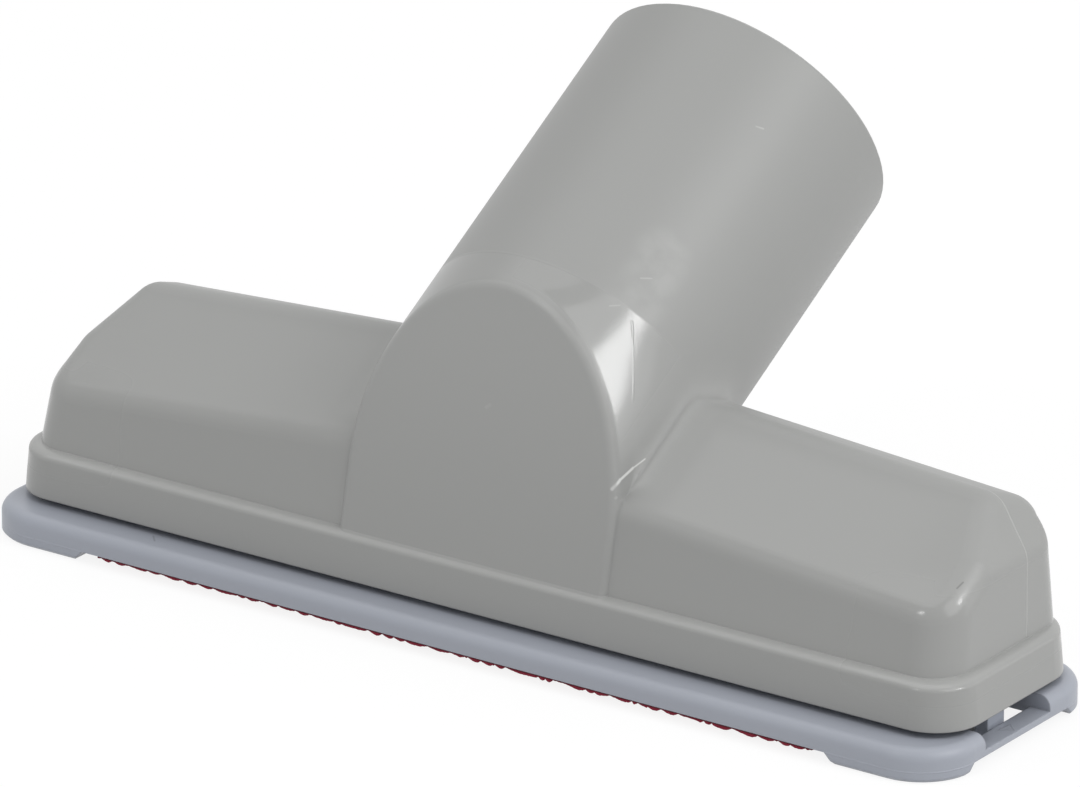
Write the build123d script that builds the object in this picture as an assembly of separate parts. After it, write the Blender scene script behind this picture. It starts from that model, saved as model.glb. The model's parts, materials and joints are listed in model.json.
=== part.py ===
from build123d import *
import os
from math import cos, radians, sin, tan

# Upholstery nozzle for a 35 mm vacuum tube, in millimetres.
# The origin is the middle of the suction mouth, on the plane of the four feet.
# X runs along the nozzle, -Y is the front with the arched face, and the neck leans back to +Y.

# Plastic walls and running gaps
WALL = 2.0
CLEARANCE = 0.25

# Clip-on sole plate, the widest part
SOLE_LENGTH = 140.0
SOLE_DEPTH = 35.0
SOLE_CORNER = 7.5
SOLE_TOP = 4.0
SOLE_BOTTOM = 1.3
SOLE_ROUND = 1.5

# Rim of the housing, the low skirt that covers the sole's rib, and the sole's edge beyond it
END_EDGE = 1.3
FRONT_EDGE = 4.2
REAR_EDGE = 2.2
RIM_BOTTOM = 4.8
RIM_CORNER = 6.0
RIM_DRAFT = 5.0
RIM_ROUND = 1.2
SHOULDER_Z = 8.8

# Ledge on top of the rim, and the box above it
LEDGE_Z = 10.8
END_LEDGE = 1.8
FRONT_LEDGE = 1.6
REAR_LEDGE = 1.0
END_DRAFT = 5.0
FRONT_LEAN = 12.5
REAR_DRAFT = 1.0
RIDGE_BACK = 8.3
RIDGE_Z = 31.6
RIDGE_FALL = 3.6
FRONT_PITCH = 30.6
REAR_PITCH = 20.0
HIP_LEAN = 35.0
HIP_SETBACK = 5.7
FRONT_CORNER = 5.0
REAR_CORNER = 4.0
TOP_ROUND = 3.5

# Tube socket in the neck
TUBE_BORE = 35.0
NECK_LEAN = 60.0
MOUTH_Y = 45.2
MOUTH_Z = 50.2
SOCKET_DEPTH = 40.0
STOP_EDGE = 1.5
MOUTH_CHAMFER = 0.4

# Flat arched face in front of the neck
ARCH_PROUD = 0.7
ARCH_LEAN = 12.5
ARCH_ROUND = 1.1

# Corner feet under the sole
FOOT_LENGTH = 16.0
FOOT_DEPTH = 7.5
FOOT_CHAMFER = 0.4

# Suction slot between the feet, and the rib that fills the rim
SLOT_END = 18.0
SLOT_WIDTH = 11.0
RIB_WALL = 1.6
RIB_MARGIN = 1.5

# Lint strips under the sole, with pile that leans along them
STRIP_END = 18.0
STRIP_WIDTH = 7.0
STRIP_EDGE = 0.5
STRIP_RECESS = 0.6
STRIP_BOTTOM = 0.35
PILE_PITCH = 2.4
PILE_HEIGHT = 0.7
PILE_LEAN = 0.5

# Latch at each end of the sole
WINDOW_WIDTH = 13.8
WINDOW_Y = -0.7
WINDOW_FLOOR = 2.1
LATCH_PLAY = 0.5
LATCH_HOLE = 3.5
LEG_WIDTH = 3.5
LEG_Y = -0.4
LEG_THICK = 1.8
LEG_BOTTOM = 0.5
BARB_REACH = 1.0
BARB_HEIGHT = 0.65

RIM_LENGTH = SOLE_LENGTH - 2 * END_EDGE
RIM_FRONT = SOLE_DEPTH / 2 - FRONT_EDGE
RIM_REAR = SOLE_DEPTH / 2 - REAR_EDGE
BOX_LENGTH = RIM_LENGTH - 2 * END_LEDGE
BOX_FRONT = RIM_FRONT - FRONT_LEDGE
BOX_REAR = RIM_REAR - REAR_LEDGE
RIDGE_Y = BOX_REAR - RIDGE_BACK
LEG_OUTER = RIM_LENGTH / 2 - WALL
NECK_RADIUS = TUBE_BORE / 2 + WALL
SINK = 1.5
REACH = 400.0

AXIS = Vector(0, sin(radians(NECK_LEAN)), cos(radians(NECK_LEAN)))
MOUTH = Plane(origin=(0, MOUTH_Y, MOUTH_Z), x_dir=(1, 0, 0), z_dir=AXIS)


def beyond(point, outward):
    """The half space on the outer side of a plane, to cut away."""
    block = Box(REACH, REACH, REACH, align=(Align.CENTER, Align.CENTER, Align.MIN))
    return Plane(origin=point, z_dir=outward) * block


def mirrored(half):
    return half + mirror(half, Plane.YZ)


def leaning(x, y, lean):
    """Outward normal of a wall that faces (x, y) and leans back from upright by lean."""
    return Vector(x * cos(radians(lean)), y * cos(radians(lean)), sin(radians(lean)))


def roof_normal(pitch):
    """Normal of a roof plane that rises by pitch to the ridge and falls to the right end."""
    return Vector(tan(radians(RIDGE_FALL)), -tan(radians(pitch)), 1).normalized()


def walled_block(inset, base):
    """Upright block behind the right half's front, rear and end walls, with rounded corners."""
    block = Pos(0, 0, base) * Box(SOLE_LENGTH, 2 * SOLE_DEPTH, RIDGE_Z, align=(
        Align.MIN, Align.CENTER, Align.MIN))
    walls = [(0, -BOX_FRONT, leaning(0, -1, FRONT_LEAN)), (0, BOX_REAR, leaning(0, 1, REAR_DRAFT)),
             (BOX_LENGTH / 2, 0, leaning(1, 0, END_DRAFT))]
    for x, y, outward in walls:
        block -= beyond(Vector(x, y, LEDGE_Z) - outward * inset, outward)
    end = BOX_LENGTH / 2 - inset
    for y, radius in ((-BOX_FRONT + inset, FRONT_CORNER), (BOX_REAR - inset, REAR_CORNER)):
        upright = block.edges().sort_by(lambda edge: edge.distance_to(Vector(end, y, LEDGE_Z)))[0]
        block = fillet(upright, radius - inset)
    return block


def roofs():
    """A point on the front, rear and hip planes of the right half, and their outward normals."""
    hip_x = BOX_LENGTH / 2 - HIP_SETBACK
    ridge = Vector(0, RIDGE_Y, RIDGE_Z)
    hip = Vector(hip_x, 0, RIDGE_Z - hip_x * tan(radians(RIDGE_FALL)))
    return ((ridge, roof_normal(FRONT_PITCH)), (ridge, roof_normal(-REAR_PITCH)),
            (hip, leaning(1, 0, HIP_LEAN)))


def box_half(inset, base):
    """Right half of the hipped box from the height base up, moved in by inset on every side."""
    half = walled_block(inset, base)
    for point, outward in roofs():
        half -= beyond(point - outward * inset, outward)
    edges = []
    for face in half.faces().filter_by(lambda face: face.normal_at().Z > sin(radians(HIP_LEAN / 2))):
        edges += [edge for edge in face.edges() if edge.center().X > SINK and edge not in edges]
    return fillet(edges, TOP_ROUND - inset)


def rim(inset, bottom, top):
    """Rounded slab on the plan of the rim, moved in by inset."""
    length = RIM_LENGTH - 2 * inset
    depth = RIM_FRONT + RIM_REAR - 2 * inset
    plan = RectangleRounded(length, depth, RIM_CORNER - inset)
    return Pos(0, (RIM_REAR - RIM_FRONT) / 2, bottom) * extrude(plan, top - bottom)


def rounded_rim():
    """The outer rim, drafted to the ledge and rounded along its top edge."""
    depth = RIM_FRONT + RIM_REAR
    plan = RectangleRounded(RIM_LENGTH, depth, RIM_CORNER)
    body = extrude(plan, LEDGE_Z - RIM_BOTTOM, taper=RIM_DRAFT)
    body = Pos(0, (RIM_REAR - RIM_FRONT) / 2, RIM_BOTTOM) * body
    return fillet(body.faces().sort_by(Axis.Z)[-1].outer_wire().edges(), RIM_ROUND)


def above_axis():
    """Half space above the plane through the neck's axis, to cut away."""
    return beyond(MOUTH.origin, Vector(0, -AXIS.Z, AXIS.Y))


def arch_plane(inset):
    """A point on the flat arched face, moved in by inset, and the face's normal."""
    normal = leaning(0, -1, ARCH_LEAN)
    return Vector(0, -BOX_FRONT - ARCH_PROUD, LEDGE_Z) - normal * inset, normal


def leaning_tube(radius, inset, base):
    """Round body along the neck, cut off flat at the arched face and at the height base."""
    length = 2 * MOUTH_Z / AXIS.Z
    tube = MOUTH * Cylinder(radius, length, align=(Align.CENTER, Align.CENTER, Align.MAX))
    return tube - beyond(*arch_plane(inset)) - beyond(Vector(0, 0, base), Vector(0, 0, -1))


def cheek():
    """Straight-sided body under the neck's widest line, behind the arched face."""
    depth = 2 * BOX_FRONT
    body = Pos(0, -depth / 2, LEDGE_Z - SINK) * Box(
        2 * NECK_RADIUS, depth, depth, align=(Align.CENTER, Align.CENTER, Align.MIN))
    return body - above_axis() - beyond(*arch_plane(0))


def neck():
    """Outer neck with the flat arched face, its rounded edge and the mouth with its edge broken."""
    body = leaning_tube(NECK_RADIUS, 0, LEDGE_Z - SINK) + cheek()
    arch = body.faces().sort_by_distance(arch_plane(0)[0])[0]
    outline = arch.outer_wire().edges().filter_by(lambda e: e.center().Z > LEDGE_Z - SINK / 2)
    body = fillet(outline, ARCH_ROUND)
    mouth = body.faces().sort_by_distance(MOUTH.origin)[0]
    return chamfer(mouth.outer_wire().edges(), MOUTH_CHAMFER)


def tube_socket():
    """Room for the tube, down to the step that stops it."""
    return MOUTH * Cylinder(TUBE_BORE / 2, SOCKET_DEPTH, align=(Align.CENTER, Align.CENTER, Align.MAX))


def hollow_out(shell):
    """Take the suction chamber, the tube socket and the air passage out of the housing."""
    shell -= rim(WALL, RIM_BOTTOM - SINK, SHOULDER_Z)
    shell -= mirrored(box_half(WALL, SHOULDER_Z - SINK))
    shell -= tube_socket()
    return shell - leaning_tube(TUBE_BORE / 2 - STOP_EDGE, WALL, SHOULDER_Z - SINK)


def latch_leg():
    """Springy leg that reaches through the sole at the right end and hooks under its ledge."""
    top = SHOULDER_Z + WALL / 2
    leg = Pos(LEG_OUTER - LEG_THICK / 2, LEG_Y, (top + LEG_BOTTOM) / 2) * Box(
        LEG_THICK, LEG_WIDTH, top - LEG_BOTTOM)
    tip = Polygon((0, 0), (BARB_REACH, BARB_HEIGHT), (0, BARB_HEIGHT), align=None)
    barb = extrude(Plane.XZ * tip, LEG_WIDTH / 2, both=True)
    return leg + Pos(LEG_OUTER, LEG_Y, LEG_BOTTOM) * barb


def housing():
    """The housing as moulded: leaning socket, hipped box and rim in one hollow piece."""
    shell = hollow_out(mirrored(box_half(0, LEDGE_Z - SINK)) + rounded_rim() + neck())
    leg = latch_leg()
    return shell + leg + mirror(leg, Plane.YZ)


def foot(x, y):
    """Low pad with sloping sides under one corner of the sole."""
    pad = Pos(x, y, 0) * Box(2 * FOOT_LENGTH, 2 * FOOT_DEPTH, SOLE_BOTTOM + SINK / 2, align=(
        Align.CENTER, Align.CENTER, Align.MIN))
    return chamfer(pad.faces().sort_by(Axis.Z)[0].edges(), SOLE_BOTTOM)


def sole_slab(bottom, top):
    plan = RectangleRounded(SOLE_LENGTH, SOLE_DEPTH, SOLE_CORNER)
    return Pos(0, 0, bottom) * extrude(plan, top - bottom)


def locating_rib():
    """Upright rib that fills the rim and carries the housing's shoulder."""
    inset = WALL + CLEARANCE
    rib = rim(inset, SOLE_TOP - SINK, SHOULDER_Z) - rim(inset + RIB_WALL, SOLE_TOP, SHOULDER_Z)
    gap = Box(2 * RIM_LENGTH, WINDOW_WIDTH + 2 * RIB_MARGIN, 4 * SHOULDER_Z)
    return rib - Pos(0, WINDOW_Y, 0) * gap


def latch_window():
    """Window in the right end: an open notch above a ledge, and the hole for the leg."""
    inner = LEG_OUTER + LATCH_PLAY - LATCH_HOLE
    block = Box(SOLE_LENGTH, WINDOW_WIDTH, SOLE_TOP, align=(Align.MIN, Align.CENTER, Align.MIN))
    hole = Box(LATCH_HOLE, WINDOW_WIDTH, 4 * SOLE_TOP, align=(Align.MIN, Align.CENTER, Align.CENTER))
    return Pos(inner, WINDOW_Y, WINDOW_FLOOR) * block + Pos(inner, WINDOW_Y, 0) * hole


def strip_place():
    """Middle of the front strip."""
    return Pos(0, -SOLE_DEPTH / 2 + STRIP_EDGE + STRIP_WIDTH / 2, 0)


def strip_length():
    return SOLE_LENGTH - 2 * STRIP_END


def strip_recess():
    height = 2 * (SOLE_BOTTOM + STRIP_RECESS)
    return strip_place() * Box(strip_length() + 2 * CLEARANCE, STRIP_WIDTH, height)


def sole_plate():
    """Clip-on sole: a thin plate with corner feet, a suction slot and recesses for the strips."""
    plate = sole_slab(SOLE_BOTTOM, SOLE_TOP)
    plate = fillet(plate.faces().sort_by(Axis.Z)[-1].outer_wire().edges(), SOLE_ROUND)
    feet = sole_slab(0, SOLE_BOTTOM + SINK / 2)
    feet = chamfer(feet.faces().sort_by(Axis.Z)[0].outer_wire().edges(), FOOT_CHAMFER)
    corners = [foot(x * SOLE_LENGTH / 2, y * SOLE_DEPTH / 2) for x in (-1, 1) for y in (-1, 1)]
    plate += feet & (corners[0] + corners[1] + corners[2] + corners[3])
    plate += locating_rib()
    plate -= extrude(SlotOverall(SOLE_LENGTH - 2 * SLOT_END, SLOT_WIDTH), 2 * SOLE_TOP, both=True)
    recess = strip_recess()
    window = latch_window()
    plate -= recess + mirror(recess, Plane.XZ)
    return plate - window - mirror(window, Plane.YZ)


def lint_strip():
    """Front strip of the thread lifter: a backing under which the pile leans in short rows."""
    length = strip_length()
    top = SOLE_BOTTOM + STRIP_RECESS
    root = STRIP_BOTTOM + PILE_HEIGHT
    count = round(length / PILE_PITCH)
    outline = [(length / 2, root), (length / 2, top), (-length / 2, top)]
    for i in range(count):
        left = length * (i / count - 0.5)
        outline += [(left, root), (left + PILE_LEAN * length / count, STRIP_BOTTOM)]
    profile = make_face(Plane.XZ * Polyline(*outline, close=True))
    return strip_place() * extrude(profile, STRIP_WIDTH / 2, both=True)


def write(name, solid):
    export_step(solid, f"parts/{name}.step")
    size = solid.bounding_box().size
    print(name, "solids", len(solid.solids()), "volume", round(solid.volume, 1),
          "size", round(size.X, 2), round(size.Y, 2), round(size.Z, 2))


def main():
    os.makedirs("parts", exist_ok=True)
    front = lint_strip()
    write("housing", housing())
    write("sole_plate", sole_plate())
    write("front_lint_strip", front)
    write("rear_lint_strip", mirror(front, Plane.XZ))


main()
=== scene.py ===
"""Vacuum upholstery nozzle: finishes for its solids, the pile of its lint strips, and a plain studio."""

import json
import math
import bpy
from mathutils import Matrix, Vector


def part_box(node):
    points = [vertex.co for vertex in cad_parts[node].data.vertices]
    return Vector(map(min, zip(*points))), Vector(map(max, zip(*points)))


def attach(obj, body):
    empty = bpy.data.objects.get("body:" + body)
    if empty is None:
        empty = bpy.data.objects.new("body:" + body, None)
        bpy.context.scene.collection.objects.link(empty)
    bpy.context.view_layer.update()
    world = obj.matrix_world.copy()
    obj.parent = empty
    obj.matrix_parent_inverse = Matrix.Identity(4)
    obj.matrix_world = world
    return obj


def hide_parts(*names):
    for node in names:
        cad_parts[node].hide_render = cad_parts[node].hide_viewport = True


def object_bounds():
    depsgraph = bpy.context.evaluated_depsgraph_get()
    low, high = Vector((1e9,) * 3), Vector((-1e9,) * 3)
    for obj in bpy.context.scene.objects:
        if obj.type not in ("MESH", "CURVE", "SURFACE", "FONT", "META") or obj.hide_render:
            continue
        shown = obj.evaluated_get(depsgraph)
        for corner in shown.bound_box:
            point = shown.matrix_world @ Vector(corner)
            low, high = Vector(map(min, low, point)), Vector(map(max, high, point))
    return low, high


bl_info = {
    "name": "Vacuum upholstery nozzle",
    "version": (1, 0, 0),
    "blender": (4, 5, 0),
    "location": "View3D > Sidebar > Nozzle",
    "description": "Dresses the packed solids of an upholstery nozzle and lights them in a white studio",
    "category": "Add Mesh",
}

import bpy
import numpy as np
from mathutils import Matrix, Vector

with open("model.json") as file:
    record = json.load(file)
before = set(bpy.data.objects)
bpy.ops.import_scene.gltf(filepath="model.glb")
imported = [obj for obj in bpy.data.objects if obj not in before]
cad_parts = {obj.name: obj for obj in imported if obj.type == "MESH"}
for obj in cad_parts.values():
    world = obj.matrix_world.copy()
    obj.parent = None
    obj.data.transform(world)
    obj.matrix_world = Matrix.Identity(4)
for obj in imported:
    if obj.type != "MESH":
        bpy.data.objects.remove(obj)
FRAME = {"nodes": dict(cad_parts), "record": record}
CAD_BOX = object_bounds()
MM = 0.001

# The neck, from the tube socket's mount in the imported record. The mount stands at the socket's middle.
SOCKET = next(m for m in FRAME["record"]["mounts"] if m["name"] == "hose_socket")
NECK_WALL = 0.002
NECK_AXIS = Vector(SOCKET["axis"]).normalized()
MOUTH = Vector(SOCKET["pos_m"]) + NECK_AXIS * (SOCKET["dims"]["length_mm"] / 2 * MM)
NECK_RADIUS = SOCKET["dims"]["r_mm"] * MM + NECK_WALL

# The flat arched face leans back by this angle. The point is at its foot, in the middle.
ARCH_LEAN = math.radians(12.5)
ARCH_FOOT = Vector((0, -0.0124, 0.0108))
ARCH_FACING = Vector((0, -math.cos(ARCH_LEAN), math.sin(ARCH_LEAN)))

STRIPS = ("front_lint_strip", "rear_lint_strip")

# Where each zone of the housing begins and is full, in millimetres, by the places in housing_places
HOUSING_ZONES = {
    "on_neck": (("outward", 1.8, 0.6), ("outward", -1.5, -0.5)),
    "off_arch": (("behind", 0.9, 1.2),),
    "beside_arch": (("behind", 0.8, 1.3),),
    "above_box": (("side", 19.2, 16.6), ("across", -1.0, 5.0)),
    "corner": (("side", 51.0, 60.0), ("height", 21.6, 19.4), ("height", 7.5, 9.2)),
    "hip_top": (("side", 52.0, 61.0), ("height", 20.3, 21.8)),
    "hip_end": (("side", 61.0, 63.0), ("height", 18.8, 20.5)),
    "ridge": (("rearward", 2.0, 5.0), ("outward", 2.0, 5.0), ("height", 20.0, 22.0)),
    "near_root": (("off_neck", 6.5, 4.0), ("depth", 30.0, 36.0), ("side", 16.0, 19.0), ("height", 13.5, 16.5)),
    "root": (("off_neck", 5.5, 3.5), ("depth", 30.0, 36.0), ("behind", 2.2, 4.0), ("height", 13.5, 16.5)),
    "arch_edge": (("behind", 2.0, 0.9), ("side", 26.0, 23.0), ("height", 12.5, 14.5)),
    # Painted light: the arched face is made paler towards its top
    "arch_top_painted_light": (("behind", 0.6, 0.3), ("height", 8.0, 42.0)),
    # The ledge, whose rounding is turned upwards and which also gets painted light
    "ledge": (("height", 9.5, 10.3), ("height", 10.92, 10.83)),
    "ring_shown": (("height", 28.0, 33.0), ("across", 10.0, 3.0)),
    "parting_shown": (("side", 55.0, 59.0), ("height", 10.8, 11.2)),
    # Latch legs under the rim, coloured bluish and made paler as painted light in their shade
    "under_rim": (("height", 4.78, 4.70),),
}

# Small marks on the housing, in millimetres: start, end and width. Moulding and use left the witness lines,
# scuffs and nicks. The glint at the neck's root and the streak along the neck are painted highlights.
HOUSING_MARKS = {
    "witness": (
        ((14.06, 0.99, 40.27), (15.7, -1.2, 36.4), 0.22),
        ((15.7, -1.2, 36.4), (17.28, -3.44, 32.52), 0.22),
    ),
    "scuffs": (
        ((-0.45, -8.33, 29.2), (0.05, -8.24, 29.6), 0.3),
        ((11.6, -0.1, 42.1), (12.4, 0.9, 42.05), 0.14),
        ((12.5, 5.0, 44.2), (13.4, 6.1, 44.05), 0.14),
        ((13.3, 28.0, 56.6), (14.0, 28.6, 56.3), 0.16),
        ((18.9, -9.42, 22.4), (19.05, -9.42, 22.5), 0.26),
    ),
    # Painted highlight: a bright glint where the neck's root meets the box, which is also polished
    "root_glint_painted": (
        ((18.48, -9.48, 23.48), (18.95, -8.51, 24.41), 0.30),
        ((18.95, -8.51, 24.41), (19.09, -6.03, 25.16), 0.24),
        ((19.09, -6.03, 25.16), (19.23, -3.74, 25.59), 0.14),
    ),
    # Painted highlight: a soft pale streak along the neck
    "smears": (((13.6, 3.0, 42.0), (13.0, 9.0, 46.0), 4.5),),
    "nicks": (((64.4, -5.6, 20.3), (64.6, -4.6, 20.8), 0.16),),
}

# Marks on the sole plate: the raised arrow on the ledge of the right latch window, and a scratch
SOLE_MARKS = {
    "arrow": (
        ((68.05, -1.9, 2.1), (69.65, -0.9, 2.1), 0.16),
        ((69.65, -0.9, 2.1), (68.3, 0.3, 2.1), 0.16),
        ((68.3, 0.3, 2.1), (68.05, -1.9, 2.1), 0.16),
    ),
    "scratch": (((-46.0, -13.7, 4.0), (-44.9, -14.9, 4.0), 0.16),),
}

# How strongly each mark and zone shows, and how many times as bright as the plain colour it is. The root glint
# and the neck's streak are painted highlights; the upper arched face, the ledge and the hollow round the neck's
# root are lightened as painted light.
HOUSING_TONES = {
    "lines": (0.8, 1.35),
    "root_glint_painted": (0.7, 2.6),
    "arch_top_painted_light": (1.0, 1.12),
    "ledge": (1.0, 1.2),
    "smears": (1.0, 1.12),
    "crease": (1.0, 1.5),
    "nicks": (0.6, 0.45),
}
SOLE_TONES = {"flash": (0.5, 1.2), "arrow": (0.5, 0.75), "scratch": (0.6, 0.5)}

# Slow drift of colour: waves to the metre, and share of the colour. Patches of gloss: waves to the
# metre, and span of the roughness.
HOUSING_DRIFT = (22.0, 0.02)
HOUSING_PATCHES = (90.0, 0.06)
SOLE_DRIFT = (30.0, 0.025)
SOLE_PATCHES = (140.0, 0.08)

# Fine noises: waves to the metre, detail and, for the fibres, roughness
# The first noise breaks up the painted highlight streak along the neck
STREAK_NOISE_PAINTED = (300.0, 4.0)
SOLE_GRAIN = (700.0, 2.0)
PILE_FIBRES = (2600.0, 3.0, 0.65)

# Shares of a mark's and a line's width that are at full strength
MARK_CORE = 0.35
LINE_CORE = 0.3

# The mould's lines on the housing: widths, heights and the blend of gloss across the witness ring
RING_BLEND = 0.0002
RING_WIDTH = 0.0002
RING_HEIGHT = 0.00002
PARTING_FACING = (0, 1, -0.114)
PARTING_WIDTH = 0.00018
SEAM_HEIGHT = 0.00005
WITNESS_SHARE = 0.3

# The neck's foot flattens over this length below the ring, towards shoulders that face this way
FOOT_LENGTH = 0.014
SHOULDER = (0.724, -0.341, 0.600)

# How much of the dull finish the worn hips and root take, and how far the painted light reaches in the hollow
# round the neck's root
WORN_SHARE = 0.6
PAINTED_CREASE_LIGHT_REACH = 0.006

# The sole plate's flash line, the height of its raised marks and grain, and the rounding of its edges
FLASH_Z = 0.00132
FLASH_WIDTH = 0.00014
SOLE_MARK_HEIGHT = 0.00004
SOLE_GRAIN_HEIGHT = 0.00001
SOLE_EDGE = 0.0003

# The pile's fibres: share by which their colour varies and how far they stand out, the heights
# between which painted shade darkens them towards the backing, and how dark that painted shade is
FIBRE_SHARE = 0.6
FIBRE_HEIGHT = 0.00012
PILE_SHADE_HEIGHTS = (0.00075, 0.00105)
PILE_ROOT_SHADE = 0.15

# The pile's rows, as shares of a row's height or pitch: the lowest row, how its leaning and its falling
# side fill out, the spread of its edge's sway between knots along Y, and the spread of the rows' shift
ROW_LOWEST = 0.6
ROW_LEANING = 1.3
ROW_FALLING = 0.6
SWAY_SPREAD = 0.10
SWAY_KNOTS = 6
SHIFT_SPREAD = 0.34

# As shares of the pile's depth: its fine noise, the width of the pad's turned-up edge, and its lift
FIBRE_NOISE = 0.14
EDGE_WIDTH = 0.5
EDGE_LIFT = 0.3

# How tall the rows stand, by their distance from the strip's left end in metres. They are full at the right.
ROW_STAND = ((0.0, 0.3), (0.0015, 0.85), (0.022, 0.6), (0.04, 0.9))

# Direction from the nozzle, distance and width of each light, in metres
LIGHTS = {
    "key": ((0.725, 0.155, 0.625), 1.2, 0.225),
    "side": ((0.70, -0.02, 0.68), 1.25, 1.0),
    "front": ((-0.203, -0.673, 0.710), 1.2, 0.2),
    "back": ((0.75, 0.62, 0.22), 1.5, 1.0),
    "top": ((-0.25, 0.1, 1.0), 1.4, 1.2),
}
LIT_POINT = Vector((0, 0.005, 0.025))

# The camera's sensor, in millimetres
SENSOR_WIDTH = 36.0

# The floor: how bright it is where it is seen, how much of its own shadow that covers, how far it
# reaches, how far it lies under the feet, and the part under the nozzle that stays dark
FLOOR_GLOW = 1.06
FLOOR_COVER = 0.82
FLOOR_HALF = 3.0
FLOOR_GAP = 0.00005
FLOOR_DARK = (("side", 66.0, 64.0), ("rearward", 6.0, 2.0), ("rearward", -15.0, -12.0))


class HousingFinish(bpy.types.PropertyGroup):
    """Finishes and small roundings of the housing."""

    colour: bpy.props.FloatVectorProperty(
        name="Colour", description="Warm grey of the moulded plastic",
        subtype="COLOR", size=3, min=0, max=1, default=(0.336, 0.339, 0.332))
    roughness: bpy.props.FloatProperty(
        name="Roughness", description="Roughness of the satin walls",
        min=0, max=1, default=0.29)
    foot_roughness: bpy.props.FloatProperty(
        name="Neck foot roughness", description="Roughness of the polished neck below its witness ring",
        min=0, max=1, default=0.12)
    corner_roughness: bpy.props.FloatProperty(
        name="Corner roughness", description="Roughness of the polished lower corners of the box and rim",
        min=0, max=1, default=0.16)
    dull_roughness: bpy.props.FloatProperty(
        name="Dull roughness", description="Roughness of the hips, the ridge and the hollow round the neck",
        min=0, max=1, default=0.5)
    foot_flatness: bpy.props.FloatProperty(
        name="Neck foot flatness", description="How much flatter than round the neck is at its foot",
        min=0, default=2.6)
    ledge_slope: bpy.props.FloatProperty(
        name="Ledge slope", description="How far the rounding of the ledge faces upwards", min=0, default=0.9)
    # Bluish like the sole, and paler than that as painted light in the legs' shade under the rim
    leg_colour_and_light: bpy.props.FloatVectorProperty(
        name="Leg colour", description="Bluish grey of the latch legs under the rim",
        subtype="COLOR", size=3, min=0, max=1, default=(0.46, 0.49, 0.56))
    socket_roughness: bpy.props.FloatProperty(
        name="Socket roughness", description="Roughness of the neck above its witness ring",
        min=0, max=1, default=0.45)
    ring_depth: bpy.props.FloatProperty(
        name="Witness ring", description="Distance from the mouth to the mould's witness ring",
        unit="LENGTH", default=0.042)
    parting_y: bpy.props.FloatProperty(
        name="Parting line", description="Place of the parting line over the ends, along Y",
        unit="LENGTH", default=0.0045)
    edge_round: bpy.props.FloatProperty(
        name="Edge rounding", description="Radius that small edges catch the light with",
        unit="LENGTH", default=0.00022)
    arch_round: bpy.props.FloatProperty(
        name="Arch rounding", description="Radius that the edge of the arched face catches the light with",
        unit="LENGTH", default=0.0013)
    root_round: bpy.props.FloatProperty(
        name="Neck root rounding", description="Radius of the soft hollow where the neck meets the box",
        unit="LENGTH", default=0.0035)


class SoleFinish(bpy.types.PropertyGroup):
    """Finish of the sole plate."""

    colour: bpy.props.FloatVectorProperty(
        name="Colour", description="Bluish grey of the sole plate",
        subtype="COLOR", size=3, min=0, max=1, default=(0.372, 0.394, 0.448))
    roughness: bpy.props.FloatProperty(
        name="Roughness", description="Roughness of the satin plate", min=0, max=1, default=0.38)


class LintPile(bpy.types.PropertyGroup):
    """Shape and colour of the pile on both lint strips."""

    colour: bpy.props.FloatVectorProperty(
        name="Pile colour", description="Dark red of the pile",
        subtype="COLOR", size=3, min=0, max=1, default=(0.27, 0.008, 0.03))
    pitch: bpy.props.FloatProperty(
        name="Row pitch", description="Mean distance from one row of pile to the next",
        unit="LENGTH", default=0.00245)
    lean: bpy.props.FloatProperty(
        name="Lean", description="Share of a row's pitch over which its pile rises",
        min=0.1, max=0.95, default=0.62)
    depth: bpy.props.FloatProperty(
        name="Pile depth", description="Height of the rows over the hollows between them",
        unit="LENGTH", default=0.00044)
    step: bpy.props.FloatProperty(
        name="Grid step", description="Spacing of the points that make the pile's surface",
        unit="LENGTH", default=0.00018)


class StudioLook(bpy.types.PropertyGroup):
    """Camera, and strengths of the lights."""

    azimuth: bpy.props.FloatProperty(
        name="Azimuth", description="Turn of the camera round the nozzle from its front",
        subtype="ANGLE", default=math.radians(35.026))
    elevation: bpy.props.FloatProperty(
        name="Elevation", description="Height of the camera above level",
        subtype="ANGLE", default=math.radians(21.25))
    distance: bpy.props.FloatProperty(
        name="Distance", description="Distance from the camera to the aim point",
        unit="LENGTH", default=1.39705)
    aim_right: bpy.props.FloatProperty(
        name="Aim right", description="Shift of the aim point to the right in the picture",
        unit="LENGTH", default=0.001223)
    aim_up: bpy.props.FloatProperty(
        name="Aim up", description="Shift of the aim point upwards in the picture",
        unit="LENGTH", default=0.026461)
    lens: bpy.props.FloatProperty(
        name="Lens", description="Focal length in millimetres on a 36 mm sensor", default=388.7)
    ambient: bpy.props.FloatProperty(
        name="Ambient", description="Strength of the even light from the white room", default=0.532)
    key: bpy.props.FloatProperty(
        name="Key light", description="Power of the small light at the upper right", unit="POWER",
        default=1.5)
    side: bpy.props.FloatProperty(
        name="Side light", description="Power of the wide soft light round the key light", unit="POWER",
        default=4.5)
    front: bpy.props.FloatProperty(
        name="Front light", description="Power of the small light high in front", unit="POWER",
        default=0.95)
    back: bpy.props.FloatProperty(
        name="Back light", description="Power of the soft light low behind on the right", unit="POWER",
        default=1.6)
    top: bpy.props.FloatProperty(
        name="Top light", description="Power of the wide light above", unit="POWER", default=3.7)


def node(tree, kind, **values):
    """A new node in the tree. Plain names set its properties, and names with a trailing _ its inputs."""
    made = tree.nodes.new(kind)
    for name, value in values.items():
        if name.endswith("_"):
            made.inputs[name[:-1]].default_value = value
        else:
            setattr(made, name, value)
    return made


def feed(tree, place, value):
    """Puts a socket's output or a fixed value into an input."""
    if isinstance(value, bpy.types.NodeSocket):
        tree.links.new(value, place)
    else:
        place.default_value = value


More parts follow.
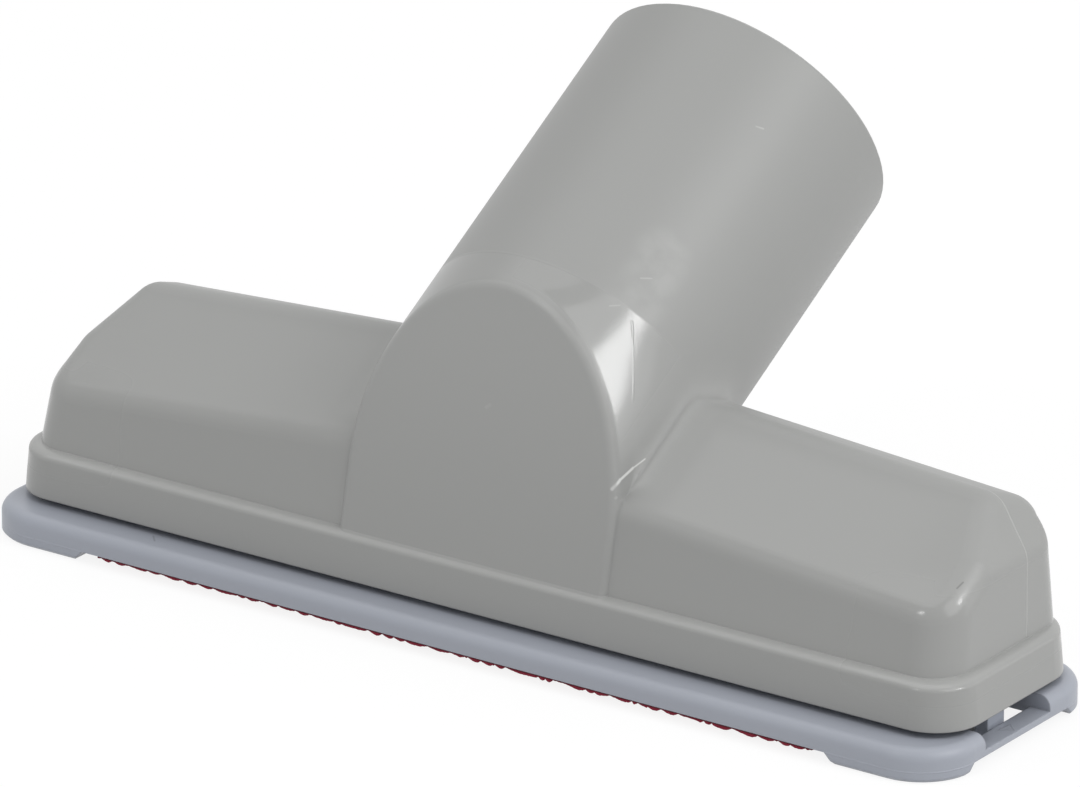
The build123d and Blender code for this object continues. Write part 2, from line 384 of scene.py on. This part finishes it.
def maths(tree, operation, *inputs):
    """Math node on numbers and sockets, in order. Returns its output."""
    made = node(tree, "ShaderNodeMath", operation=operation)
    for place, value in zip(made.inputs, inputs):
        feed(tree, place, value)
    return made.outputs[0]


def vector(tree, operation, *inputs, output=0):
    """Vector Math node on vectors and sockets, in order. A Scale takes its number last."""
    made = node(tree, "ShaderNodeVectorMath", operation=operation)
    second = made.inputs["Scale"] if operation == "SCALE" else made.inputs[1]
    for place, value in zip((made.inputs[0], second), inputs):
        feed(tree, place, value)
    return made.outputs[output]


def product(tree, *factors):
    """Product of masks and numbers. The first one is a mask."""
    result = factors[0]
    for factor in factors[1:]:
        result = maths(tree, "MULTIPLY", result, factor)
    return result


def largest(tree, *masks):
    """Largest of several masks."""
    result = masks[0]
    for mask in masks[1:]:
        result = maths(tree, "MAXIMUM", result, mask)
    return result


def blend(tree, factor, low, high):
    """Number between two others, each fixed or from a socket, by the factor."""
    made = node(tree, "ShaderNodeMix", data_type="FLOAT")
    for place, value in ((0, factor), (2, low), (3, high)):
        feed(tree, made.inputs[place], value)
    return made.outputs[0]


def mixed(tree, factor, low, high):
    """Colour between two others, each fixed with four values or from a socket, by the factor."""
    made = node(tree, "ShaderNodeMix", data_type="RGBA")
    for place, value in ((0, factor), (6, low), (7, high)):
        feed(tree, made.inputs[place], value)
    return made.outputs[2]


def shade(colour, share):
    """The colour made paler or darker by a factor, with an alpha of 1."""
    return [min(1.0, part * share) for part in colour] + [1]


def along(tree, point, direction, offset=0.0):
    """Distance of the point along a fixed direction, less the offset, in metres."""
    dot = vector(tree, "DOT_PRODUCT", point, direction, output="Value")
    return maths(tree, "SUBTRACT", dot, offset)


def ramp(tree, value, low, high):
    """0 below low and 1 above high, with a smooth rise between. Low may be the larger one."""
    made = node(tree, "ShaderNodeMapRange", interpolation_type="SMOOTHSTEP")
    for name, given in (("Value", value), ("From Min", low), ("From Max", high)):
        feed(tree, made.inputs[name], given)
    return made.outputs["Result"]


def places(tree, point):
    """Where the point is: along the nozzle, the same without its sign, to the rear, and up."""
    across = along(tree, point, (1, 0, 0))
    return {
        "across": across,
        "side": maths(tree, "ABSOLUTE", across),
        "rearward": along(tree, point, (0, 1, 0)),
        "height": along(tree, point, (0, 0, 1)),
    }


def zone(tree, at, limits):
    """1 where all limits hold. Each has a place, where its mask begins and where it is full, in millimetres."""
    return product(tree, *[ramp(tree, at[name], begin * MM, full * MM) for name, begin, full in limits])


def stroke(tree, point, start, end, width):
    """1 within a straight mark from start to end, falling to 0 at the width, all in millimetres."""
    start, end = Vector(start) * MM, Vector(end) * MM
    run = end - start
    rest = vector(tree, "SUBTRACT", point, start)
    share = maths(tree, "MULTIPLY", along(tree, rest, run), 1 / run.length_squared)
    share.node.use_clamp = True
    nearest = vector(tree, "SCALE", run, share)
    away = vector(tree, "DISTANCE", rest, nearest, output="Value")
    return ramp(tree, away, width * MM, width * MM * MARK_CORE)


def strokes(tree, point, marks):
    """Largest of several straight marks, each a start, an end and a width."""
    return largest(tree, *[stroke(tree, point, *mark) for mark in marks])


def line_mask(tree, distance, width):
    """1 on the line where the distance is zero, falling to 0 at the width."""
    return ramp(tree, maths(tree, "ABSOLUTE", distance), width, width * LINE_CORE)


def noise(tree, point, scale, detail=3.0, roughness=0.5):
    """Smooth noise from 0 to 1, with about this many waves to the metre."""
    made = node(tree, "ShaderNodeTexNoise", Scale_=scale, Detail_=detail, Roughness_=roughness)
    tree.links.new(point, made.inputs["Vector"])
    return made.outputs["Fac"]


def varied(tree, point, middle, scale, span):
    """Number that wanders by the span round the middle, from place to place."""
    return maths(tree, "MULTIPLY_ADD", noise(tree, point, scale), span, middle - span / 2)


def tinted(tree, colour, factor, share):
    """The colour, lightened and darkened by the share where the factor leaves 0.5."""
    return mixed(tree, factor, shade(colour, 1 - share), shade(colour, 1 + share))


def drifting(tree, point, colour, scale, share):
    """The colour, with a slow drift."""
    return tinted(tree, colour, noise(tree, point, scale), share)


def marked(tree, colour, plain, masks, tones):
    """The colour, turned in each mask towards a paler or darker tone of the plain colour."""
    for name, (strength, tone) in tones.items():
        colour = mixed(tree, product(tree, masks[name], strength), colour, shade(plain, tone))
    return colour


def bumped(tree, height, distance, normal=None):
    """Normal of a surface raised by the height times the distance in metres."""
    bump = node(tree, "ShaderNodeBump", Distance_=distance, Strength_=1.0)
    tree.links.new(height, bump.inputs["Height"])
    if normal is not None:
        tree.links.new(normal, bump.inputs["Normal"])
    return bump.outputs["Normal"]


def soft_edges(tree, radius):
    """Normal that is rounded over edges by a fixed radius, or by one from a socket."""
    made = node(tree, "ShaderNodeBevel", samples=6)
    feed(tree, made.inputs["Radius"], radius)
    return made.outputs["Normal"]


def creases(tree, reach):
    """Share of the light that nearby faces of the same piece keep out, up to the reach in metres."""
    made = node(tree, "ShaderNodeAmbientOcclusion", samples=8, only_local=True, Distance_=reach)
    return maths(tree, "SUBTRACT", 1.0, made.outputs["AO"])


def turned(tree, normal, push):
    """Normal after a push, at length 1."""
    return vector(tree, "NORMALIZE", vector(tree, "ADD", normal, push))


def flattened(tree, normal, across, amount):
    """Normal turned towards the neck's shoulders, right and left, by the amount."""
    shoulder = node(tree, "ShaderNodeCombineXYZ", Y_=SHOULDER[1], Z_=SHOULDER[2])
    tree.links.new(product(tree, maths(tree, "SIGN", across), SHOULDER[0]), shoulder.inputs["X"])
    return turned(tree, normal, vector(tree, "SCALE", shoulder.outputs[0], amount))


def raised(tree, normal, amount):
    """Normal turned upwards by the amount."""
    lift = node(tree, "ShaderNodeCombineXYZ")
    tree.links.new(amount, lift.inputs["Z"])
    return turned(tree, normal, lift.outputs[0])


def new_material(name):
    """Empty material with a Principled shader. Returns it, its tree, the shader and Object coordinates."""
    material = bpy.data.materials.new(name)
    material.use_nodes = True
    tree = material.node_tree
    shader = tree.nodes["Principled BSDF"]
    point = node(tree, "ShaderNodeTexCoord").outputs["Object"]
    return material, tree, shader, point


def neck_distance(tree, point, across):
    """Distance outwards from the neck: round over its axis, and straight-sided under it."""
    over_axis = Vector((0, -NECK_AXIS.z, NECK_AXIS.y))
    height = maths(tree, "MAXIMUM", along(tree, point, over_axis, MOUTH.dot(over_axis)), 0.0)
    square = maths(tree, "ADD", product(tree, across, across), product(tree, height, height))
    return maths(tree, "SUBTRACT", maths(tree, "SQRT", square), NECK_RADIUS)


def housing_places(tree, point):
    """The common places, and those from the neck's mouth and surface and from the arched face."""
    at = places(tree, point)
    into_neck, into_arch = -NECK_AXIS, -ARCH_FACING
    at["depth"] = along(tree, point, into_neck, MOUTH.dot(into_neck))
    at["outward"] = neck_distance(tree, point, at["across"])
    at["off_neck"] = maths(tree, "ABSOLUTE", at["outward"])
    at["behind"] = along(tree, point, into_arch, ARCH_FOOT.dot(into_arch))
    return at


def housing_gloss(tree, point, at, masks, marks, look):
    """Roughness: satin walls, dull hips and ridge, polished corners and neck foot, and a matte socket."""
    above, below = look.ring_depth - RING_BLEND, look.ring_depth + RING_BLEND
    socket = ramp(tree, at["depth"], below, above)
    under_ring = ramp(tree, at["depth"], above, below)
    foot = product(tree, under_ring, masks["on_neck"], masks["off_arch"], masks["above_box"])
    worn = largest(tree, masks["hip_top"], masks["hip_end"], masks["near_root"])
    dull = largest(tree, product(tree, worn, WORN_SHARE), masks["ridge"])
    gloss = varied(tree, point, look.roughness, *HOUSING_PATCHES)
    gloss = blend(tree, masks["corner"], gloss, look.corner_roughness)
    gloss = blend(tree, dull, gloss, look.dull_roughness)
    gloss = blend(tree, largest(tree, foot, marks["root_glint_painted"]), gloss, look.foot_roughness)
    return blend(tree, socket, gloss, look.socket_roughness)


def housing_normal(tree, at, masks, marks, look):
    """Normal: soft edges, the flattened neck foot, the raised ledge, and the lines of the mould."""
    radius = blend(tree, masks["arch_edge"], look.edge_round, look.arch_round)
    normal = soft_edges(tree, blend(tree, masks["root"], radius, look.root_round))
    down_foot = ramp(tree, at["depth"], look.ring_depth, look.ring_depth + FOOT_LENGTH)
    flare = product(tree, down_foot, masks["on_neck"], masks["beside_arch"], masks["above_box"])
    normal = flattened(tree, normal, at["across"], product(tree, flare, look.foot_flatness))
    normal = raised(tree, normal, product(tree, masks["ledge"], look.ledge_slope))
    ring = line_mask(tree, maths(tree, "SUBTRACT", at["depth"], look.ring_depth), RING_WIDTH)
    normal = bumped(tree, product(tree, ring, masks["ring_shown"]), RING_HEIGHT, normal)
    seams = largest(tree, masks["parting"], product(tree, marks["witness"], WITNESS_SHARE))
    return bumped(tree, seams, SEAM_HEIGHT, normal)


def housing_colour(tree, point, masks, marks, look):
    """Grey with its slow drift, its marks and scuffs, painted highlights at the neck's root and along the neck,
    painted light on the upper arched face, the ledge and the hollow round the neck's root, and the bluish legs,
    which painted light makes paler in their shade.
    """
    colour = drifting(tree, point, look.colour, *HOUSING_DRIFT)
    shown = {
        "lines": largest(tree, masks["parting"], marks["scuffs"]),
        # Painted highlight at the neck's root
        "root_glint_painted": marks["root_glint_painted"],
        # Painted light, paler towards the top of the arched face
        "arch_top_painted_light": masks["arch_top_painted_light"],
        # Painted light on the ledge
        "ledge": masks["ledge"],
        # Painted highlight streak along the neck
        "smears": product(tree, marks["smears"], ramp(tree, noise(tree, point, *STREAK_NOISE_PAINTED), 0.3, 0.7)),
        # Painted light that lifts the shade in the hollow round the neck's root
        "crease": product(tree, creases(tree, PAINTED_CREASE_LIGHT_REACH), masks["root"]),
        "nicks": marks["nicks"],
    }
    colour = marked(tree, colour, look.colour, shown, HOUSING_TONES)
    # The legs in their bluish colour, made paler as painted light in their shade
    return mixed(tree, masks["under_rim"], colour, shade(look.leg_colour_and_light, 1))


def housing_plastic(look):
    """Warm grey plastic of the housing, with its zones of gloss, its small marks, and its painted highlights
    and painted light.
    """
    material, tree, shader, point = new_material("housing_plastic")
    at = housing_places(tree, point)
    masks = {name: zone(tree, at, limits) for name, limits in HOUSING_ZONES.items()}
    marks = {name: strokes(tree, point, lines) for name, lines in HOUSING_MARKS.items()}
    parting = line_mask(tree, along(tree, point, PARTING_FACING, look.parting_y), PARTING_WIDTH)
    masks["parting"] = product(tree, parting, masks["parting_shown"])
    tree.links.new(housing_gloss(tree, point, at, masks, marks, look), shader.inputs["Roughness"])
    tree.links.new(housing_normal(tree, at, masks, marks, look), shader.inputs["Normal"])
    tree.links.new(housing_colour(tree, point, masks, marks, look), shader.inputs["Base Color"])
    shader.inputs["IOR"].default_value = 1.52
    return material


def sole_plastic(look):
    """Satin bluish grey plastic of the sole plate, with its flash line, latch arrow and scratch."""
    material, tree, shader, point = new_material("sole_plastic")
    marks = {name: strokes(tree, point, lines) for name, lines in SOLE_MARKS.items()}
    marks["flash"] = line_mask(tree, along(tree, point, (0, 0, 1), FLASH_Z), FLASH_WIDTH)
    colour = drifting(tree, point, look.colour, *SOLE_DRIFT)
    colour = marked(tree, colour, look.colour, marks, SOLE_TONES)
    tree.links.new(colour, shader.inputs["Base Color"])
    tree.links.new(varied(tree, point, look.roughness, *SOLE_PATCHES), shader.inputs["Roughness"])
    standing = largest(tree, marks["flash"], marks["arrow"])
    normal = bumped(tree, standing, SOLE_MARK_HEIGHT, soft_edges(tree, SOLE_EDGE))
    grain = noise(tree, point, *SOLE_GRAIN)
    tree.links.new(bumped(tree, grain, SOLE_GRAIN_HEIGHT, normal), shader.inputs["Normal"])
    return material


def pile_fabric(look):
    """Dark red fibres, with painted shade that makes them nearly black towards the backing."""
    material, tree, shader, point = new_material("lint_pile")
    fibre = noise(tree, point, *PILE_FIBRES)
    # Painted shade, darkening the fibres towards the backing
    root_shade = ramp(tree, along(tree, point, (0, 0, 1)), *PILE_SHADE_HEIGHTS)
    fibres = tinted(tree, look.colour, fibre, FIBRE_SHARE)
    colour = mixed(tree, root_shade, fibres, shade(look.colour, PILE_ROOT_SHADE))
    tree.links.new(colour, shader.inputs["Base Color"])
    shader.inputs["Roughness"].default_value = 0.85
    shader.inputs["Sheen Weight"].default_value = 0.3
    shader.inputs["Sheen Roughness"].default_value = 0.4
    shader.inputs["Sheen Tint"].default_value = (0.9, 0.15, 0.25, 1)
    tree.links.new(bumped(tree, fibre, FIBRE_HEIGHT), shader.inputs["Normal"])
    return material


def pile_surface(low, high, look, seed):
    """Closed pad whose underside is rows of pile.

    The underside is z(x, y) = low.z + depth * (1 - row(x, y)) + fine noise, where row rises smoothly over
    the leaning share of each pitch and falls quickly after it. The place along x is first shifted by a
    smooth random amount, so the rows are of uneven width. Each row has its own height, and its edge sways a
    little along y. The rows mostly stand taller towards +X, as on the worn strip. The pad's edges turn up
    towards the flat backing, which closes it.
    """
    rng = np.random.default_rng(seed)
    nx = int((high.x - low.x) / look.step) + 1
    ny = int((high.y - low.y) / look.step) + 1
    x, y = np.meshgrid(np.linspace(low.x, high.x, nx), np.linspace(low.y, high.y, ny), indexing="ij")
    rows = int(math.ceil((high.x - low.x) / look.pitch)) + 3
    height = ROW_LOWEST + (1 - ROW_LOWEST) * rng.random(rows)
    waver = rng.normal(0, SWAY_SPREAD, (rows, SWAY_KNOTS))
    stations = np.linspace(low.x, high.x, rows)
    shift = np.interp(x, stations, rng.normal(0, SHIFT_SPREAD, rows))
    place = (x - low.x) / look.pitch + shift
    k = np.clip(place.astype(int), 0, rows - 1)
    across = (y - low.y) / (high.y - low.y)
    knots = np.linspace(0, 1, SWAY_KNOTS)
    sway = sum(waver[k, i] * np.maximum(0, 1 - np.abs(across - knots[i]) * (SWAY_KNOTS - 1))
               for i in range(SWAY_KNOTS))
    phase = np.mod(place + sway, 1.0)
    k = np.clip(np.floor(place + sway).astype(int), 0, rows - 1)
    rise = np.clip(phase / look.lean, 0, 1)
    fall = np.clip((1 - phase) / (1 - look.lean), 0, 1)
    row = np.where(phase < look.lean, np.sin(rise * math.pi / 2) ** ROW_LEANING,
                   np.sin(fall * math.pi / 2) ** ROW_FALLING)
    stops, stand = zip(*ROW_STAND)
    taller = np.interp(x, [low.x + stop for stop in stops] + [high.x], stand + (1.0,))
    z = low.z + look.depth * (1 - row * height[k] * taller) + look.depth * FIBRE_NOISE * rng.random(x.shape)
    inwards = np.minimum(np.minimum(across, 1 - across) * (high.y - low.y), np.minimum(x - low.x, high.x - x))
    edge = np.clip(inwards / (EDGE_WIDTH * look.depth), 0, 1)
    z = z + look.depth * EDGE_LIFT * (1 - edge) ** 2
    top = np.full(z.size, high.z)
    points = np.stack([np.tile(x.ravel(), 2), np.tile(y.ravel(), 2), np.concatenate([z.ravel(), top])], 1)
    index = np.arange(nx * ny).reshape(nx, ny)
    under = np.stack([index[:-1, :-1], index[:-1, 1:], index[1:, 1:], index[1:, :-1]], -1).reshape(-1, 4)
    rim = np.concatenate([index[:-1, 0], index[-1, :-1], index[:0:-1, -1], index[0, :0:-1]])
    onward = np.roll(rim, -1)
    wall = np.stack([rim, onward, onward + nx * ny, rim + nx * ny], 1)
    cap = rim + nx * ny
    used = np.unique(np.concatenate([under.ravel(), wall.ravel()]))
    number = np.full(2 * nx * ny, -1)
    number[used] = np.arange(len(used))
    faces = number[np.concatenate([under, wall])].tolist() + [number[cap].tolist()]
    return points[used], faces


def add_mesh(name, points, faces):
    """New mesh object at the origin, with its place in its mesh."""
    mesh = bpy.data.meshes.new(name)
    mesh.from_pydata(points.tolist(), [], faces)
    mesh.update()
    made = bpy.data.objects.new(name, mesh)
    bpy.context.scene.collection.objects.link(made)
    return made


def paint(target, material):
    """Gives the object one material in all its slots."""
    slots = target.data.materials
    if len(slots) == 0:
        slots.append(material)
    for i in range(len(slots)):
        slots[i] = material


class NOZZLE_OT_housing(bpy.types.Operator):
    """Semi-gloss grey plastic on the housing, with its witness ring, parting lines, small marks, painted
    highlights and painted light
    """

    bl_idname = "nozzle.housing"
    bl_label = "Housing finish"

    def execute(self, context):
        paint(FRAME["nodes"]["housing"], housing_plastic(context.scene.nozzle_housing))
        return {"FINISHED"}


class NOZZLE_OT_sole(bpy.types.Operator):
    """Satin bluish grey plastic on the sole plate"""

    bl_idname = "nozzle.sole"
    bl_label = "Sole finish"

    def execute(self, context):
        paint(FRAME["nodes"]["sole_plate"], sole_plastic(context.scene.nozzle_sole))
        return {"FINISHED"}


class NOZZLE_OT_pile(bpy.types.Operator):
    """Red pile in place of the two plain lint strips"""

    bl_idname = "nozzle.pile"
    bl_label = "Lint strips"

    def execute(self, context):
        look = context.scene.nozzle_pile
        fabric = pile_fabric(look)
        for seed, strip in enumerate(STRIPS):
            low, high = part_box(strip)
            made = add_mesh(strip.replace("lint_strip", "pile"), *pile_surface(low, high, look, seed))
            paint(made, fabric)
            made.data.shade_smooth()
            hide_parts(strip)
            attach(made, "root")
        return {"FINISHED"}


def seen_directly(tree):
    """1 for rays from the camera, in mirrors and through glass, 0 for light that falls on surfaces."""
    path = node(tree, "ShaderNodeLightPath")
    return largest(tree, *[path.outputs[f"Is {kind} Ray"] for kind in ("Camera", "Glossy", "Transmission")])


def white_room(look):
    """World that is pure white where it is seen and gives even light at the ambient strength."""
    world = bpy.data.worlds.new("white_room")
    world.use_nodes = True
    tree = world.node_tree
    background = tree.nodes["Background"]
    background.inputs["Color"].default_value = (1, 1, 1, 1)
    tree.links.new(blend(tree, seen_directly(tree), look.ambient, 1.0), background.inputs["Strength"])
    bpy.context.scene.world = world


def pale_floor():
    """Floor that looks white, with a faint shadow by the nozzle and a dark one under it."""
    material = bpy.data.materials.new("pale_floor")
    material.use_nodes = True
    tree = material.node_tree
    tree.nodes.clear()
    glow = node(tree, "ShaderNodeEmission", Color_=(1, 1, 1, 1), Strength_=FLOOR_GLOW)
    card = node(tree, "ShaderNodeBsdfDiffuse", Color_=(0.8, 0.8, 0.8, 1))
    mix = node(tree, "ShaderNodeMixShader")
    point = node(tree, "ShaderNodeTexCoord").outputs["Object"]
    open_floor = maths(tree, "SUBTRACT", 1.0, zone(tree, places(tree, point), FLOOR_DARK))
    tree.links.new(product(tree, seen_directly(tree), FLOOR_COVER, open_floor), mix.inputs[0])
    tree.links.new(card.outputs[0], mix.inputs[1])
    tree.links.new(glow.outputs[0], mix.inputs[2])
    out = node(tree, "ShaderNodeOutputMaterial")
    tree.links.new(mix.outputs[0], out.inputs["Surface"])
    half, low = FLOOR_HALF, CAD_BOX[0].z - FLOOR_GAP
    corners = np.array([(-half, -half, low), (half, -half, low), (half, half, low), (-half, half, low)])
    floor = add_mesh("floor", corners, [(0, 1, 2, 3)])
    paint(floor, material)


def area_light(name, direction, distance, size, power):
    """Square light that faces the nozzle from a direction. The camera doesn't see it."""
    data = bpy.data.lights.new(name, "AREA")
    data.shape = "SQUARE"
    data.size = size
    data.energy = power
    made = bpy.data.objects.new(name, data)
    bpy.context.scene.collection.objects.link(made)
    towards = Vector(direction).normalized()
    turn = towards.to_track_quat("Z", "Y").to_matrix().to_4x4()
    made.matrix_world = Matrix.Translation(LIT_POINT + towards * distance) @ turn
    made.visible_camera = False


def camera(look):
    """Camera at the look's azimuth, elevation and distance, turned to its aim point."""
    data = bpy.data.cameras.new("camera")
    data.sensor_fit = "HORIZONTAL"
    data.sensor_width = SENSOR_WIDTH
    data.lens = look.lens
    data.clip_start, data.clip_end = 0.05, 20
    a, e = look.azimuth, look.elevation
    back = Vector((math.sin(a) * math.cos(e), -math.cos(a) * math.cos(e), math.sin(e)))
    right = Vector((math.cos(a), math.sin(a), 0))
    up = back.cross(right)
    turn = Matrix((right, up, back)).transposed().to_4x4()
    made = bpy.data.objects.new("camera", data)
    bpy.context.scene.collection.objects.link(made)
    place = right * look.aim_right + up * look.aim_up + back * look.distance
    made.matrix_world = Matrix.Translation(place) @ turn
    bpy.context.scene.camera = made


class NOZZLE_OT_studio(bpy.types.Operator):
    """White room, pale floor, lights and the camera"""

    bl_idname = "nozzle.studio"
    bl_label = "Studio"

    def execute(self, context):
        look = context.scene.nozzle_studio
        context.scene.view_settings.view_transform = "Standard"
        white_room(look)
        pale_floor()
        for name, (direction, distance, size) in LIGHTS.items():
            area_light(name, direction, distance, size, getattr(look, name))
        camera(look)
        return {"FINISHED"}


class NOZZLE_PT_panel(bpy.types.Panel):
    """Lists the nozzle's pieces and its studio in the sidebar"""

    bl_idname = "NOZZLE_PT_panel"
    bl_label = "Nozzle"
    bl_space_type = "VIEW_3D"
    bl_region_type = "UI"
    bl_category = "Nozzle"

    def draw(self, context):
        for group in GROUPS:
            box = self.layout.box()
            values = getattr(context.scene, group)
            for name in values.__annotations__:
                box.prop(values, name)
        for operator in OPERATORS:
            self.layout.operator(operator.bl_idname)


GROUPS = {
    "nozzle_housing": HousingFinish,
    "nozzle_sole": SoleFinish,
    "nozzle_pile": LintPile,
    "nozzle_studio": StudioLook,
}
OPERATORS = (NOZZLE_OT_housing, NOZZLE_OT_sole, NOZZLE_OT_pile, NOZZLE_OT_studio)


def register():
    for name, group in GROUPS.items():
        bpy.utils.register_class(group)
        setattr(bpy.types.Scene, name, bpy.props.PointerProperty(type=group))
    for operator in OPERATORS:
        bpy.utils.register_class(operator)
    bpy.utils.register_class(NOZZLE_PT_panel)


def unregister():
    bpy.utils.unregister_class(NOZZLE_PT_panel)
    for operator in reversed(OPERATORS):
        bpy.utils.unregister_class(operator)
    for name, group in reversed(GROUPS.items()):
        delattr(bpy.types.Scene, name)
        bpy.utils.unregister_class(group)


def main():
    register()
    bpy.ops.nozzle.housing()
    bpy.ops.nozzle.sole()
    bpy.ops.nozzle.pile()
    bpy.ops.nozzle.studio()


if __name__ == "__main__":
    main()
